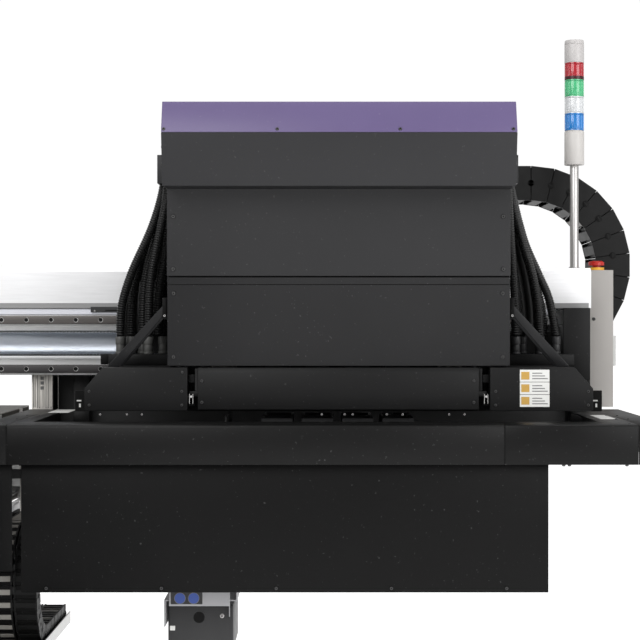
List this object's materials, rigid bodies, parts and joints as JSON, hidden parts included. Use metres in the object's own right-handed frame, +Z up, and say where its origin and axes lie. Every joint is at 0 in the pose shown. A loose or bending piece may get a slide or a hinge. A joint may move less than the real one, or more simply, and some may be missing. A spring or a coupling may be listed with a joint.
{
  "type": "flatbed inkjet printer",
  "caption": "Wide flatbed inkjet printer: travelling gantry with overhanging maintenance station, covered print carriage with lamp boxes, energy chains and signal tower.",
  "frame": {"origin": "centre of the bounding box at floor level", "axes": "+X along the beam to the maintenance station, +Y from the operator to the rear, +Z up"},
  "size_m": [4.7684, 1.972, 1.8734],
  "materials": {
    "frame_white": "satin",
    "zinc": "satin",
    "alu": "satin",
    "charcoal": "satin",
    "black": "satin",
    "purple": "satin",
    "grey_sheet": "satin",
    "post_grey": "satin",
    "chain_plastic": "matt",
    "hose_rubber": "matt",
    "tank_plastic": "matt",
    "estop_yellow": "gloss",
    "estop_red": "gloss",
    "tower_grey": "satin",
    "lens": "gloss"
  },
  "bodies": {
    "base": {"base_frame": "frame_white", "levelling_feet": "zinc", "vacuum_table": "alu", "rear_deck": "alu", "gantry_rails": "zinc", "vacuum_blowers": "tank_plastic", "control_cabinet": "frame_white", "gantry_chain_tray": "zinc", "gantry_chain_lower": "chain_plastic"},
    "ball_screw_left": {"ball_screw_left": "zinc"},
    "ball_screw_right": {"ball_screw_right": "zinc"},
    "gantry_chain_loop": {"gantry_chain_loop": "chain_plastic"},
    "gantry": {"gantry_side_plates": "alu", "gantry_runners": "zinc", "gantry_chain_upper": "chain_plastic", "beam": "alu", "beam_top_cover": "frame_white", "beam_rails": "zinc", "drive_belt": "hose_rubber", "beam_right_cover": "black", "beam_left_housing": "frame_white", "end_post": "post_grey", "estop_base": "estop_yellow", "tower_pole": "zinc", "tower_housing": "tower_grey", "tower_lenses": "lens", "station_frame": "alu", "station_covers": "black", "station_skirt": "black", "station_back_panel": "black", "drip_tray": "grey_sheet", "waste_holder": "grey_sheet", "waste_tank": "tank_plastic", "carriage_chain_tray": "zinc", "carriage_chain_lower": "chain_plastic", "drive_motor": "tank_plastic"},
    "drive_pulley": {"drive_pulley": "alu"},
    "idler_pulley": {"idler_pulley": "alu"},
    "estop_button": {"estop_button": "estop_red"},
    "cap_unit": {"cap_tray": "grey_sheet"},
    "wiper": {"wiper": "grey_sheet"},
    "carriage": {"carriage_plate": "alu", "chain_arm": "zinc", "carriage_chain_upper": "chain_plastic", "lift_unit": "zinc"},
    "carriage_chain_loop": {"carriage_chain_loop": "chain_plastic"},
    "lift_screw": {"lift_screw": "zinc"},
    "head": {"head_base_plate": "alu", "print_heads": "tank_plastic", "ink_tanks": "tank_plastic", "cover_shell": "charcoal", "cover_fascia": "charcoal", "cover_crown": "purple", "cover_front_panels": "charcoal", "base_panel": "black", "lamp_boxes": "black", "hose_manifolds": "charcoal", "hoses": "hose_rubber", "braces": "charcoal", "cover_screws": "zinc"}
  },
  "joints": [
    {"name": "gantry_travel", "type": "slide", "parent": "base", "child": "gantry", "axis": [0, -1, 0], "range_m": [0, 1.3], "deforming": ["gantry_chain_upper", "gantry_chain_lower"]},
    {"name": "gantry_chain_follow", "type": "slide", "parent": "base", "child": "gantry_chain_loop", "axis": [0, -1, 0], "range_m": [0, 0.65]},
    {"name": "ball_screw_left_turn", "type": "hinge", "parent": "base", "child": "ball_screw_left", "pos_m": [-1.83725, 0.034, 0.732], "axis": [0, 1, 0], "range_deg": [0, 23401]},
    {"name": "ball_screw_right_turn", "type": "hinge", "parent": "base", "child": "ball_screw_right", "pos_m": [0.82875, 0.034, 0.732], "axis": [0, 1, 0], "range_deg": [0, 23401]},
    {"name": "carriage_travel", "type": "slide", "parent": "gantry", "child": "carriage", "axis": [-1, 0, 0], "range_m": [0, 3.25], "deforming": ["carriage_chain_upper", "carriage_chain_lower"]},
    {"name": "carriage_chain_follow", "type": "slide", "parent": "carriage", "child": "carriage_chain_loop", "axis": [1, 0, 0], "range_m": [0, 1.625]},
    {"name": "drive_pulley_turn", "type": "hinge", "parent": "gantry", "child": "drive_pulley", "pos_m": [2.18275, 0.565, 1.1125], "axis": [0, -1, 0], "range_deg": [0, 6313.25]},
    {"name": "idler_pulley_turn", "type": "hinge", "parent": "gantry", "child": "idler_pulley", "pos_m": [-2.23425, 0.565, 1.1125], "axis": [0, -1, 0], "range_deg": [0, 6313.25]},
    {"name": "head_lift", "type": "slide", "parent": "carriage", "child": "head", "axis": [0, 0, 1], "range_m": [0, 0.05]},
    {"name": "lift_screw_turn", "type": "hinge", "parent": "carriage", "child": "lift_screw", "pos_m": [1.62675, 0.516, 1.2], "axis": [0, 0, 1], "range_deg": [0, 3601]},
    {"name": "cap_lift", "type": "slide", "parent": "gantry", "child": "cap_unit", "axis": [0, 0, 1], "range_m": [0, 0.025]},
    {"name": "wiper_lift", "type": "slide", "parent": "gantry", "child": "wiper", "axis": [0, 0, 1], "range_m": [0, 0.022]},
    {"name": "estop_press", "type": "slide", "parent": "gantry", "child": "estop_button", "axis": [0, 0, -1], "range_m": [0, 0.0045], "stiffness_N_per_m": 1500}
  ],
  "couplings": [
    {"joint": "gantry_chain_follow", "follows": "gantry_travel", "ratio": 0.5},
    {"joint": "ball_screw_left_turn", "follows": "gantry_travel", "rad_per_m": 314.16},
    {"joint": "ball_screw_right_turn", "follows": "gantry_travel", "rad_per_m": 314.16},
    {"joint": "carriage_chain_follow", "follows": "carriage_travel", "ratio": 0.5},
    {"joint": "drive_pulley_turn", "follows": "carriage_travel", "rad_per_m": 33.898},
    {"joint": "idler_pulley_turn", "follows": "carriage_travel", "rad_per_m": 33.898},
    {"joint": "lift_screw_turn", "follows": "head_lift", "rad_per_m": 1256.6}
  ]
}
